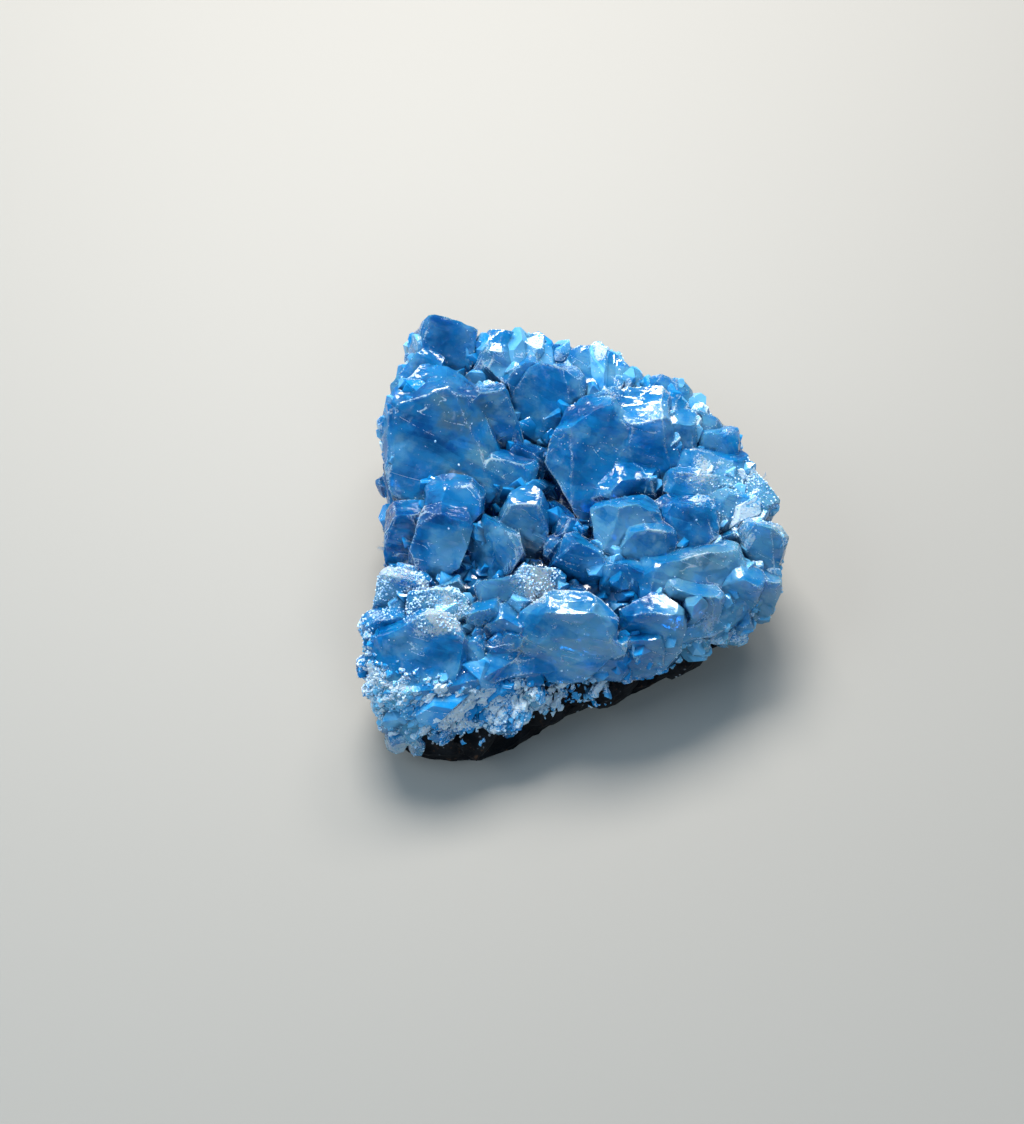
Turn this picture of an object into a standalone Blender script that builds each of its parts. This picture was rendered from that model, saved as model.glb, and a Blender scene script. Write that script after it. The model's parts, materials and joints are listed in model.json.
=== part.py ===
# Celestite cluster: blue crystals grown together on a broken piece of dark rock.
# Lengths are in millimetres and become metres in one place, the scale MM.
# +X is right, +Y is away from the front edge, +Z is up, and the rock's flat foot is at Z = 0.

import math
import random

import bmesh
import bpy
from mathutils import Matrix, Vector, noise

MM = 0.001

# Heights of the layers.
CRUST_LOW = 12.5
CRUST_TOP = 20.5
SEAT_GAP = 0.4

# The specimen's plan, counter-clockwise from the notch in its left side.
# Each row is a point of the crystal rim and the point of the rock's foot below it.
PLAN = (
    ((-34.5, 3.0), (-31.0, 3.0)),
    ((-35.5, -9.0), (-32.0, -9.0)),
    ((-38.0, -18.0), (-35.0, -18.0)),
    ((-38.0, -27.0), (-36.0, -27.0)),
    ((-32.0, -31.0), (-31.0, -34.0)),
    ((-23.0, -30.0), (-23.0, -35.5)),
    ((-13.0, -26.0), (-13.0, -33.0)),
    ((-3.0, -24.0), (-4.0, -27.5)),
    ((8.0, -23.0), (6.0, -23.0)),
    ((18.0, -19.5), (15.0, -18.5)),
    ((28.0, -15.5), (24.0, -13.0)),
    ((35.5, -10.0), (30.0, -8.0)),
    ((38.0, -1.0), (33.0, 0.0)),
    ((37.0, 9.0), (32.0, 9.0)),
    ((32.0, 20.0), (27.0, 18.0)),
    ((25.0, 30.0), (20.0, 26.0)),
    ((13.0, 36.5), (10.0, 33.0)),
    ((-2.0, 40.0), (-4.0, 36.0)),
    ((-16.0, 41.5), (-16.0, 38.0)),
    ((-28.0, 41.0), (-27.0, 37.0)),
    ((-34.0, 32.0), (-31.0, 29.0)),
    ((-37.5, 18.0), (-33.5, 15.0)),
)
PLAN_MIDDLE = Vector((-1.0, 5.0))
STEPS_PER_POINT = 2

# The rock's rings: height, share of the way from the foot outline to the rim outline, inset.
ROCK_RINGS = (
    (0.0, 0.00, 1.2),
    (1.2, 0.05, 0.0),
    (4.0, 0.25, -0.4),
    (7.5, 0.55, 0.0),
    (11.0, 0.85, 1.0),
    (14.0, 1.00, 2.4),
    (15.0, 1.00, 7.0),
)
CRUST_RINGS = (
    (CRUST_LOW, 0.95, 2.2),
    (14.5, 1.00, 0.8),
    (17.5, 1.00, 1.0),
    (19.5, 1.00, 3.0),
    (CRUST_TOP, 1.00, 8.0),
)

# How rough the rings are, and the size of the noise that roughens them.
NOISE_SIZE = 9.0
ROCK_ROUGHNESS = 1.8
CRUST_ROUGHNESS = 0.7

# Lumps that stand out of the rock and pits broken into it: middle, half sizes, turn in degrees.
# Each is knocked out of round by dents of this depth, as a share of its size.
LUMP_DENT = 0.22
LUMP_DENTS_ACROSS = 1.7
ROCK_LUMPS = (
    ((-30.0, -27.0, 5.5), (7.0, 6.0, 5.0), 20),
    ((-18.0, -30.0, 6.0), (6.5, 4.5, 5.0), 75),
    ((-6.0, -25.5, 5.0), (6.0, 4.0, 4.6), 10),
    ((7.0, -21.5, 7.0), (7.0, 4.0, 5.0), 40),
    ((19.0, -15.5, 6.5), (6.0, 4.5, 5.0), 15),
    ((29.0, -7.0, 7.0), (5.0, 6.0, 5.0), 60),
    ((33.5, 5.0, 6.5), (4.0, 7.0, 5.0), 5),
    ((28.0, 17.0, 6.0), (6.0, 5.0, 4.8), 30),
    ((15.0, 30.5, 5.5), (7.0, 5.0, 4.6), 70),
    ((-4.0, 35.5, 6.0), (6.0, 4.5, 5.0), 25),
    ((-20.0, 37.5, 6.5), (7.0, 4.0, 5.2), 10),
    ((-32.0, 25.0, 6.0), (4.0, 7.0, 4.8), 15),
    ((-31.5, 5.0, 5.0), (4.0, 6.0, 4.2), 80),
    ((-33.0, -12.0, 5.5), (4.5, 6.0, 4.6), 50),
)
ROCK_PITS = (
    ((0.5, -27.5, 8.5), (3.4, 2.6, 2.6), 20),
    ((13.5, -21.5, 5.0), (3.0, 2.4, 2.0), 50),
    ((26.0, -13.0, 9.5), (3.0, 2.6, 2.2), 10),
    ((36.0, -3.0, 8.0), (2.4, 3.2, 2.2), 30),
    ((32.5, 13.0, 8.5), (2.6, 3.0, 2.2), 70),
    ((22.5, 27.5, 8.0), (3.2, 2.6, 2.4), 40),
    ((4.0, 36.5, 8.5), (3.4, 2.4, 2.4), 15),
    ((-12.0, 40.0, 8.0), (3.0, 2.4, 2.2), 60),
    ((-32.0, 35.0, 8.0), (2.6, 3.0, 2.4), 20),
    ((-34.5, 14.0, 8.5), (2.4, 3.2, 2.4), 35),
    ((-36.0, -22.0, 9.0), (2.4, 2.8, 2.2), 25),
)

# How a crystal differs from the next: how far its prism reaches past the ends of its ridge, as a
# share of its width, how much its upright edges and its hips are cut back, and how far its ridge is
# turned in degrees and tipped in mm.
SEED = 7
REACH_SHARE = 0.14
LEAST_REACH = 0.8
EDGE_SHARE = (0.1, 0.3)
SMALL_EDGE_SHARE = 0.2
HIP_SHARE = (0.02, 0.3)
TWIST = 10.0
DIP = 0.7

# The small crystals. A rim row is its height, its inset, how many outline points apart its crystals
# stand and how far forward it goes. An apron row is its left and right end, its height and its lean.
RIM_ROWS = ((22.0, 2.6, 2, -6.0), (17.5, 1.0, 1, -40.0))
RIM_SIZE = (2.0, 3.6)
RIM_LEAN = (0.2, 0.6)
VALLEY_ROWS = 6
VALLEY_COLUMNS = 7
VALLEY_CORNER = (-34.0, -22.0)
VALLEY_SPAN = (68.0, 58.0)
VALLEY_OVAL = (33.0, 29.0)
VALLEY_LEAN = 0.006
VALLEY_TIP = (22.5, 26.0)
VALLEY_SIZE = (2.6, 4.6)
APRON_ROWS = (
    ((-35.0, -29.5), (-9.0, -26.5), 15.5, -0.3),
    ((-34.5, -31.5), (-11.0, -28.5), 13.0, -0.4),
    ((-32.5, -33.0), (-12.5, -30.5), 10.5, -0.4),
)
APRON_SPACING = 3.6
APRON_SIZE = (2.4, 3.8)

# The crystals. Each is a prism that grew up from the crust to a ridge, with a sloping face on each
# side of the ridge and at each end. The columns are
#   name, left end of the ridge, right end, (width, slope) of the front face, (width, slope) of the
#   back face, slopes of the end faces, lean of the growth axis in X and Y, depth of the prism.
# Points and lengths are in mm, slopes in degrees below level, and a lean is a shift per mm of height.
CRYSTALS = (
    # The high back left corner, with the two giants in front of it.
    ("peak", (-28.0, 42.0, 36.0), (-20.0, 41.5, 34.0), (10, 50), (3.5, 70), (80, 50), (-0.1, 0.1), 21),
    ("shoulder", (-34.5, 30.5, 30.0), (-29.5, 37.5, 32.0), (7, 30), (3.5, 65), (60, 60), (-0.2, 0.1), 15),
    ("giant", (-34.0, 23.5, 34.0), (-19.5, 26.0, 35.5), (22, 36), (9, 14), (60, 76), (-0.1, 0.0), 20),
    ("column", (-18.8, 25.0, 33.5), (-13.0, 27.5, 33.0), (14, 50), (6, 45), (80, 78), (0.1, 0.0), 20),
    ("back_gap", (-20.5, 39.5, 31.0), (-18.0, 39.3, 31.0), (8, 45), (2.5, 65), (60, 60), (0.0, 0.0), 16),
    ("back_glint", (-17.5, 37.5, 31.5), (-13.0, 36.5, 31.5), (5, 50), (5, 5), (65, 60), (0.0, 0.0), 16),
    ("back_pale", (-15.5, 41.0, 32.0), (-5.5, 41.0, 31.5), (9, 30), (3, 70), (50, 45), (0.0, 0.1), 17),
    ("dark_left", (-13.5, 32.0, 31.5), (-7.5, 33.5, 32.0), (15, 50), (6, 35), (76, 72), (0.0, 0.0), 18),
    ("dark_right", (-8.0, 33.5, 33.0), (-1.0, 30.5, 33.0), (15, 54), (6, 38), (60, 62), (0.1, 0.1), 19),
    # The back rim, from left to right.
    ("rim_dark", (-4.5, 40.0, 30.0), (-0.5, 39.3, 30.0), (5, 45), (3, 70), (60, 60), (0.0, 0.2), 15),
    ("rim_pale", (-0.5, 39.7, 30.0), (6.5, 38.7, 30.0), (10, 28), (3, 65), (60, 50), (0.0, 0.2), 15),
    ("rim_low", (6.5, 37.8, 29.0), (10.5, 35.5, 29.0), (8, 30), (3, 65), (60, 60), (0.1, 0.2), 15),
    ("rim_notch", (10.5, 35.3, 29.0), (13.5, 34.0, 29.0), (6, 40), (3, 65), (55, 60), (0.1, 0.2), 15),
    ("rim_high", (14.5, 32.5, 31.0), (20.5, 30.5, 31.0), (9, 38), (4, 60), (60, 60), (0.2, 0.2), 17),
    ("rim_corner", (21.5, 30.0, 28.0), (25.0, 26.5, 28.0), (6, 35), (3, 65), (60, 60), (0.2, 0.2), 14),
    ("rim_right", (23.0, 25.5, 28.0), (27.5, 23.5, 28.0), (6, 45), (4, 55), (55, 60), (0.2, 0.1), 14),
    ("rim_flat", (18.5, 22.0, 30.0), (22.5, 21.0, 30.0), (6, 50), (5, 20), (70, 70), (0.1, 0.0), 16),
    ("rim_dark_right", (23.0, 21.0, 28.0), (28.5, 20.0, 28.0), (6, 50), (4, 40), (65, 60), (0.2, 0.0), 14),
    ("rim_band", (19.0, 17.5, 27.0), (30.5, 16.0, 27.0), (5, 22), (4, 40), (65, 60), (0.1, 0.0), 13),
    ("rim_outer", (31.5, 16.5, 26.0), (37.0, 9.5, 26.0), (6, 35), (3, 65), (55, 50), (0.2, 0.0), 12),
    # The tall crystals in the middle, and the low ones that stand between them.
    ("gap_back", (-11.0, 18.0, 27.0), (-6.5, 16.0, 27.0), (7, 48), (4, 40), (60, 60), (0.0, 0.0), 13),
    ("gap_mid", (-5.5, 7.0, 26.5), (-2.5, 3.0, 26.0), (5, 50), (4, 45), (60, 60), (0.0, 0.0), 12),
    ("gap_front", (-4.0, -1.0, 25.5), (2.0, -1.5, 25.5), (5, 48), (4, 40), (60, 60), (0.0, 0.0), 11),
    ("tall", (-4.0, 18.0, 32.5), (8.0, 23.5, 34.0), (21, 38), (5, 25), (52, 74), (0.2, 0.1), 20),
    ("tall_edge", (0.5, 26.0, 32.0), (10.0, 28.5, 32.0), (8, 18), (3, 60), (65, 60), (0.0, 0.0), 18),
    ("striped", (8.5, 19.5, 32.0), (17.0, 21.0, 32.0), (8, 50), (9, 8), (75, 78), (0.0, 0.0), 18),
    ("striped_ledge", (5.5, 10.5, 26.8), (17.5, 11.5, 26.5), (5, 50), (8, 5), (66, 70), (0.0, 0.0), 13),
    # The right side, down to the front edge.
    ("mid_back", (18.0, 11.5, 27.0), (26.5, 12.5, 27.0), (6, 38), (4, 30), (60, 60), (0.1, 0.0), 13),
    ("mid_right", (26.5, 8.5, 26.5), (35.0, 7.5, 26.0), (6, 40), (3, 30), (60, 50), (0.2, 0.0), 12),
    ("mid", (15.5, 6.0, 28.0), (24.5, 4.0, 28.0), (8, 40), (5, 40), (55, 60), (0.1, 0.0), 14),
    ("fin", (4.5, 3.5, 30.5), (13.5, 4.0, 29.5), (10, 45), (4, 45), (62, 55), (-0.1, 0.0), 16),
    ("fin_right", (11.0, 0.5, 28.5), (17.5, -1.5, 28.0), (7, 50), (4, 30), (60, 60), (0.0, 0.0), 14),
    ("long", (12.0, -5.5, 26.5), (29.0, -4.5, 26.0), (8, 36), (5, 42), (52, 55), (0.0, -0.1), 13),
    ("upright", (31.0, 1.5, 27.5), (36.5, 0.0, 27.0), (10, 62), (4, 50), (72, 70), (0.1, -0.1), 13),
    ("shiny", (29.5, -8.5, 24.5), (33.5, -9.5, 24.0), (8, 58), (4, 40), (60, 65), (0.2, -0.3), 11),
    ("shiny_side", (34.0, -7.0, 22.0), (37.0, -8.0, 21.0), (6, 55), (4, 45), (60, 60), (0.2, -0.2), 9),
    ("milky", (16.5, -11.5, 25.0), (25.0, -12.0, 24.5), (9, 55), (4, 38), (60, 60), (0.1, -0.3), 11),
    ("lobe", (9.5, -15.5, 25.5), (17.5, -16.0, 25.5), (9, 52), (5, 30), (55, 62), (0.0, -0.2), 12),
    ("lobe_low", (8.5, -19.5, 22.0), (14.5, -19.5, 22.0), (6, 58), (4, 40), (60, 60), (0.0, -0.3), 9),
    # The front: the bright crystal in the middle and what stands round it.
    ("bright", (-8.5, -16.5, 27.5), (5.0, -17.5, 27.8), (10, 45), (5, 8), (42, 48), (-0.1, -0.2), 10.5),
    ("under_left", (-7.5, -21.0, 20.5), (-1.0, -22.0, 20.0), (4, 55), (4, 40), (60, 60), (0.0, -0.3), 7),
    ("under_right", (0.5, -22.0, 20.0), (7.5, -21.5, 20.5), (4, 55), (4, 40), (60, 60), (0.0, -0.3), 7),
    ("wedge", (0.0, -3.0, 28.0), (5.0, -5.0, 27.0), (9, 52), (4, 50), (62, 60), (0.0, -0.1), 14),
    ("chevron", (5.5, -6.0, 26.5), (10.5, -7.0, 26.0), (7, 50), (4, 50), (60, 55), (0.0, -0.1), 13),
    ("frosted", (-10.0, -7.5, 27.0), (-3.5, -7.5, 27.0), (7, 40), (3, 60), (60, 60), (0.0, 0.0), 13),
    ("pale_left", (-17.0, -10.5, 27.0), (-10.0, -8.5, 28.0), (9, 50), (3, 60), (60, 60), (0.0, 0.0), 14),
    ("front_mid", (-14.0, -17.0, 25.0), (-9.0, -18.0, 25.0), (7, 50), (5, 35), (60, 60), (0.0, -0.2), 12),
    ("front_low", (-17.0, -21.0, 22.0), (-11.5, -20.5, 22.0), (5, 50), (4, 40), (60, 60), (0.0, -0.3), 9),
    # The left side.
    ("round", (-26.0, 2.0, 30.0), (-20.0, 1.0, 30.0), (9, 46), (4, 30), (48, 46), (0.0, 0.0), 17),
    ("round_right", (-17.0, 2.5, 28.5), (-11.0, -2.0, 28.0), (8, 50), (4, 45), (60, 60), (0.0, 0.0), 15),
    ("round_back", (-26.0, 7.5, 29.5), (-18.0, 9.0, 29.5), (7, 22), (4, 30), (60, 60), (0.0, 0.0), 15),
    ("side_dark", (-33.5, 3.0, 27.0), (-29.0, 3.5, 27.0), (8, 55), (5, 30), (65, 65), (-0.1, 0.0), 13),
    ("glint", (-12.5, 4.0, 29.5), (-7.0, 4.0, 29.5), (8, 55), (5, 6), (62, 66), (0.0, 0.0), 16),
    ("glint_back", (-16.5, 14.5, 28.5), (-9.0, 13.5, 28.5), (8, 45), (4, 40), (60, 60), (0.0, 0.0), 15),
    ("front_left", (-38.0, -20.5, 25.5), (-24.5, -17.0, 28.0), (11, 38), (4, 40), (56, 58), (-0.1, 0.0), 11),
    ("bank_left", (-34.0, -27.0, 16.5), (-24.5, -27.5, 16.0), (7, 40), (6, 5), (60, 60), (0.0, 0.0), 8),
    ("bank_right", (-22.0, -26.5, 16.0), (-12.0, -25.0, 16.0), (7, 42), (6, 5), (60, 60), (0.0, 0.0), 8),
    ("front_step", (-23.0, -21.0, 23.0), (-18.5, -20.5, 23.0), (6, 45), (4, 35), (60, 60), (0.0, -0.1), 9),
    ("left_mid", (-35.0, -8.0, 26.0), (-29.0, -9.5, 26.5), (8, 48), (4, 50), (60, 60), (-0.2, 0.0), 12),
    ("left_pale", (-29.5, -12.0, 28.0), (-21.5, -12.5, 28.0), (7, 40), (4, 60), (60, 60), (0.0, 0.0), 14),
    ("left_low", (-37.0, -17.0, 24.5), (-31.0, -15.5, 25.0), (8, 48), (4, 45), (60, 60), (-0.2, -0.1), 11),
    ("grained", (-20.5, -16.0, 25.5), (-15.5, -15.0, 25.5), (10, 48), (4, 45), (60, 60), (0.0, -0.2), 12),
)


def spline(points, steps):
    """A closed smooth curve through the points, as Vectors."""
    count = len(points)
    curve = []
    for i in range(count):
        p0, p1, p2, p3 = (Vector(points[(i + k) % count]) for k in (-1, 0, 1, 2))
        for s in range(steps):
            t = s / steps
            curve.append(
                0.5
                * (
                    2 * p1
                    + (p2 - p0) * t
                    + (2 * p0 - 5 * p1 + 4 * p2 - p3) * t * t
                    + (3 * p1 - p0 - 3 * p2 + p3) * t * t * t
                )
            )
    return curve


RIM = spline([rim for rim, foot in PLAN], STEPS_PER_POINT)
FOOT = spline([foot for rim, foot in PLAN], STEPS_PER_POINT)


def ring(share, inset):
    """The outline that is this share of the way from foot to rim, moved inwards by the inset."""
    points = []
    for low, high in zip(FOOT, RIM):
        point = low.lerp(high, share)
        inward = (PLAN_MIDDLE - point).normalized()
        points.append(point + inward * inset)
    return points


def ringed_body(rings, roughness, grow=0.0):
    """A closed body through the rings, bottom to top, its sides roughened by noise."""
    mesh = bmesh.new()
    place = mesh.verts.layers.int.new("place")
    bmesh.ops.create_circle(mesh, cap_ends=True, segments=len(RIM), radius=1.0)
    mesh.verts.ensure_lookup_table()
    for i, vert in enumerate(mesh.verts):
        vert[place] = i
    face = next(iter(mesh.faces))
    last = len(rings) - 1
    for level, (height, share, inset) in enumerate(rings):
        if level:
            below = face
            made = bmesh.ops.extrude_face_region(mesh, geom=[below])
            face = next(item for item in made["geom"] if isinstance(item, bmesh.types.BMFace))
        if level > 1:
            bmesh.ops.delete(mesh, geom=[below], context="FACES_ONLY")
        outline = ring(share, inset)
        for vert in face.verts:
            point = outline[vert[place]]
            shift = noise.noise_vector(Vector((point.x, point.y, 2.0 * height)) / NOISE_SIZE)
            rise = 0.0 if level in (0, last) else shift.z
            out = (point - PLAN_MIDDLE).normalized() * grow
            vert.co = Vector((point.x + out.x, point.y + out.y, height))
            vert.co += Vector((shift.x, shift.y, rise)) * roughness
            vert.co.z += grow * level / last
    sides = [side for side in mesh.faces if len(side.verts) == 4]
    bmesh.ops.triangulate(mesh, faces=sides, quad_method="FIXED")
    bmesh.ops.recalc_face_normals(mesh, faces=mesh.faces[:])
    return mesh


def cut_off(mesh, point, normal):
    """Cuts away what lies beyond the plane and closes the cut with one flat face."""
    geometry = mesh.verts[:] + mesh.edges[:] + mesh.faces[:]
    made = bmesh.ops.bisect_plane(
        mesh, geom=geometry, dist=1e-5, plane_co=point, plane_no=normal, clear_outer=True
    )
    edges = [item for item in made["geom_cut"] if isinstance(item, bmesh.types.BMEdge)]
    if edges:
        bmesh.ops.contextual_create(mesh, geom=edges)


def sloping(side, slope):
    """The normal of a face that slopes down towards the side by this many degrees below level."""
    angle = math.radians(slope)
    return Vector((side[0] * math.sin(angle), side[1] * math.sin(angle), math.cos(angle)))


def crystal(left, right, front, back, ends, lean, depth, edge_share, hips=()):
    """One celestite crystal: a chisel-ended prism whose ridge runs from left to right.

    Its four upright edges are cut back by a share of its narrower side. Its hips, where a long face
    meets an end face, are cut off by pyramid faces, each set in by a share of the ridge's length.
    """
    left, right = Vector(left), Vector(right)
    along = (right - left).normalized()
    length = (right - left).length
    growth = Vector((*lean, 1.0)).normalized()
    growth = (growth - along * growth.dot(along)).normalized()
    across = growth.cross(along)
    (front_width, front_slope), (back_width, back_slope) = front, back
    reach = max(LEAST_REACH, REACH_SHARE * (front_width + back_width))
    mesh = bmesh.new()
    bmesh.ops.create_cube(mesh, size=1.0)
    size = Vector((length + 2 * reach, front_width + back_width, depth))
    middle = Vector((length / 2, (back_width - front_width) / 2, -depth / 2))
    for vert in mesh.verts:
        vert.co = Vector((vert.co[i] * size[i] + middle[i] for i in range(3)))
    tips = (Vector((0, 0, 0)), Vector((length, 0, 0)))
    long_faces = (sloping((0, -1), front_slope), sloping((0, 1), back_slope))
    end_faces = (sloping((-1, 0), ends[0]), sloping((1, 0), ends[1]))
    for tip, end_face in zip(tips, end_faces):
        cut_off(mesh, tip, end_face)
    for long_face in long_faces:
        cut_off(mesh, tips[0], long_face)
    for i, share in enumerate(hips):
        end, side = divmod(i, 2)
        inwards = (1 - 2 * end) * share * max(length, 2.0)
        normal = (end_faces[end] + long_faces[side]).normalized()
        cut_off(mesh, tips[end] + Vector((inwards, 0, 0)), normal)
    chamfer = edge_share * min(size.x, size.y)
    for end in (-1, 1):
        for side in (-1, 1):
            corner = middle + Vector((end * size.x / 2, side * size.y / 2, 0))
            normal = Vector((end * 0.8, side, 0)).normalized()
            cut_off(mesh, corner - normal * chamfer, normal)
    turn = Matrix((along, across, growth)).transposed().to_4x4()
    bmesh.ops.transform(mesh, matrix=Matrix.Translation(left) @ turn, verts=mesh.verts[:])
    bmesh.ops.recalc_face_normals(mesh, faces=mesh.faces[:])
    return mesh


def twisted(left, right, angle, dip):
    """The two ends of a ridge, turned about its middle by degrees in plan and tipped by the dip."""
    left, right = Vector(left), Vector(right)
    middle = (left + right) / 2
    turn = Matrix.Rotation(math.radians(angle), 3, "Z")
    half = turn @ (right - middle) - Vector((0.0, 0.0, dip))
    return middle - half, middle + half


def small_crystal(tip, size, lean, spin, depth):
    """A small crystal of the same habit, its short ridge centred on the tip."""
    half = Vector((math.cos(spin), math.sin(spin), 0.0)) * 0.3 * size
    tip = Vector(tip)
    sides = ((0.7 * size, 52), (0.6 * size, 48))
    return crystal(
        tip - half, tip + half, sides[0], sides[1], (58, 60), lean, depth, SMALL_EDGE_SHARE
    )


def lump(middle, size, turn, grow=0.0, rounds=2):
    """A broken lump of rock: a low faceted ball, stretched and knocked out of round."""
    mesh = bmesh.new()
    bmesh.ops.create_icosphere(mesh, subdivisions=rounds, radius=1.0)
    for vert in mesh.verts:
        dent = 1.0 + LUMP_DENT * noise.noise(vert.co * LUMP_DENTS_ACROSS + Vector(middle))
        vert.co = Vector((vert.co[i] * (size[i] * dent + grow) for i in range(3)))
    matrix = Matrix.Translation(Vector(middle)) @ Matrix.Rotation(math.radians(turn), 4, "Z")
    bmesh.ops.transform(mesh, matrix=matrix, verts=mesh.verts[:])
    return mesh


def collection(name, hidden=False):
    made = bpy.data.collections.new(name)
    bpy.context.scene.collection.children.link(made)
    made.hide_render = hidden
    return made


def material(name, colour, roughness, metallic=0.0):
    made = bpy.data.materials.new(name)
    made.use_nodes = True
    shader = made.node_tree.nodes["Principled BSDF"]
    shader.inputs["Base Color"].default_value = (*colour, 1.0)
    shader.inputs["Roughness"].default_value = roughness
    shader.inputs["Metallic"].default_value = metallic
    made.diffuse_color = (*colour, 1.0)
    return made


def add(name, mesh, owner, parent, helper=False):
    """Makes an object of the mesh, in metres, under the cluster's empty."""
    bmesh.ops.scale(mesh, vec=Vector((MM, MM, MM)), verts=mesh.verts[:])
    data = bpy.data.meshes.new(name)
    mesh.to_mesh(data)
    mesh.free()
    made = bpy.data.objects.new(name, data)
    owner.objects.link(made)
    made.parent = parent
    if helper:
        made.hide_render = True
        made.display_type = "WIRE"
    return made


def boolean(target, operation, operands):
    modifier = target.modifiers.new(operands.name, "BOOLEAN")
    modifier.operation = operation
    modifier.operand_type = "COLLECTION"
    modifier.collection = operands
    modifier.solver = "EXACT"


def grow_main_crystals(stock, parent, chance):
    for name, left, right, *shape in CRYSTALS:
        hips = [chance.uniform(*HIP_SHARE) for hip in range(4)]
        ridge = twisted(left, right, chance.uniform(-TWIST, TWIST), chance.uniform(-DIP, DIP))
        mesh = crystal(*ridge, *shape, chance.uniform(*EDGE_SHARE), hips)
        add("crystal_" + name, mesh, stock, parent, helper=True)


def grow_rim_crystals(stock, parent, chance):
    """A fringe of small crystals that lean out over the rock all the way round."""
    for height, inset, spacing, front in RIM_ROWS:
        for point in [rim for rim in RIM[::spacing] if rim.y > front]:
            out = (point - PLAN_MIDDLE).normalized()
            size = chance.uniform(*RIM_SIZE)
            place = point - out * (inset + chance.uniform(-0.6, 0.6))
            tip = (place.x, place.y, height + chance.uniform(-1.2, 1.2))
            lean = out * chance.uniform(*RIM_LEAN)
            mesh = small_crystal(tip, size, tuple(lean), chance.uniform(0, math.pi), 2.2 * size)
            add("crystal_rim", mesh, stock, parent, helper=True)


def grow_valley_crystals(stock, parent, chance):
    """Small crystals that fill the ground between the big ones."""
    for row in range(VALLEY_ROWS):
        for column in range(VALLEY_COLUMNS):
            across = (column + chance.uniform(0.15, 0.85)) / VALLEY_COLUMNS
            down = (row + chance.uniform(0.15, 0.85)) / VALLEY_ROWS
            place = Vector(VALLEY_CORNER) + Vector((VALLEY_SPAN[0] * across, VALLEY_SPAN[1] * down))
            out = place - PLAN_MIDDLE
            tip = (place.x, place.y, chance.uniform(*VALLEY_TIP))
            if (out.x / VALLEY_OVAL[0]) ** 2 + (out.y / VALLEY_OVAL[1]) ** 2 < 1.0:
                lean = out * VALLEY_LEAN
                size = chance.uniform(*VALLEY_SIZE)
                spin = chance.uniform(0, math.pi)
                mesh = small_crystal(tip, size, tuple(lean), spin, 2.6 * size)
                add("crystal_valley", mesh, stock, parent, helper=True)


def grow_apron(stock, parent, chance):
    """The granular bank of stubby crystals below the front edge, on the left."""
    for left, right, height, lean in APRON_ROWS:
        left, right = Vector(left), Vector(right)
        count = round((right - left).length / APRON_SPACING)
        for i in range(count + 1):
            place = left.lerp(right, i / count)
            size = chance.uniform(*APRON_SIZE)
            tip = (
                place.x + chance.uniform(-0.7, 0.7),
                place.y + chance.uniform(-0.7, 0.7),
                height + chance.uniform(-0.8, 0.8),
            )
            mesh = small_crystal(tip, size, (0.0, lean), chance.uniform(0, math.pi), 2.0 * size)
            add("crystal_apron", mesh, stock, parent, helper=True)


def build_rock(parts, lumps, pits, parent):
    mesh = ringed_body(ROCK_RINGS, ROCK_ROUGHNESS)
    rock = add("matrix", mesh, parts, parent)
    rock.data.materials.append(material("dark rock", (0.035, 0.042, 0.055), 0.85))
    for middle, size, turn in ROCK_LUMPS:
        add("lump", lump(middle, size, turn), lumps, parent, helper=True)
    for middle, size, turn in ROCK_PITS:
        add("pit", lump(middle, size, turn, rounds=1), pits, parent, helper=True)
    boolean(rock, "UNION", lumps)
    boolean(rock, "DIFFERENCE", pits)
    return rock


def build_seat(seat, parent):
    """The room that the crystals leave for the rock: the same shapes, a little larger."""
    mesh = ringed_body(ROCK_RINGS, ROCK_ROUGHNESS, SEAT_GAP)
    add("seat", mesh, seat, parent, helper=True)
    for middle, size, turn in ROCK_LUMPS:
        add("seat_lump", lump(middle, size, turn, SEAT_GAP), seat, parent, helper=True)


def build_crystals(parts, stock, seat, parent):
    chance = random.Random(SEED)
    mesh = ringed_body(CRUST_RINGS, CRUST_ROUGHNESS)
    crystals = add("crystals", mesh, parts, parent)
    crystals.data.materials.append(material("celestite", (0.10, 0.28, 0.52), 0.12))
    grow_main_crystals(stock, parent, chance)
    grow_rim_crystals(stock, parent, chance)
    grow_valley_crystals(stock, parent, chance)
    grow_apron(stock, parent, chance)
    boolean(crystals, "UNION", stock)
    boolean(crystals, "DIFFERENCE", seat)
    return crystals


def centre(parent, pieces):
    """Moves the whole cluster so that the middle of its box stands on the origin."""
    bpy.context.view_layer.update()
    graph = bpy.context.evaluated_depsgraph_get()
    points = []
    for piece in pieces:
        shape = piece.evaluated_get(graph)
        points += [shape.matrix_world @ Vector(corner) for corner in shape.bound_box]
    low = [min(point[i] for point in points) for i in range(3)]
    high = [max(point[i] for point in points) for i in range(3)]
    parent.location = (-(low[0] + high[0]) / 2, -(low[1] + high[1]) / 2, -low[2])


def main():
    noise.seed_set(SEED)
    for item in list(bpy.data.objects):
        bpy.data.objects.remove(item, do_unlink=True)
    parts = collection("celestite cluster")
    lumps = collection("rock lumps", hidden=True)
    pits = collection("rock pits", hidden=True)
    stock = collection("crystal stock", hidden=True)
    seat = collection("seat", hidden=True)
    cluster = bpy.data.objects.new("cluster", None)
    parts.objects.link(cluster)
    rock = build_rock(parts, lumps, pits, cluster)
    build_seat(seat, cluster)
    crystals = build_crystals(parts, stock, seat, cluster)
    centre(cluster, (rock, crystals))


main()
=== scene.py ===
import json
import math
import random

import bpy
import numpy as np
from mathutils import Matrix, Vector
from mathutils.bvhtree import BVHTree

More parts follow.
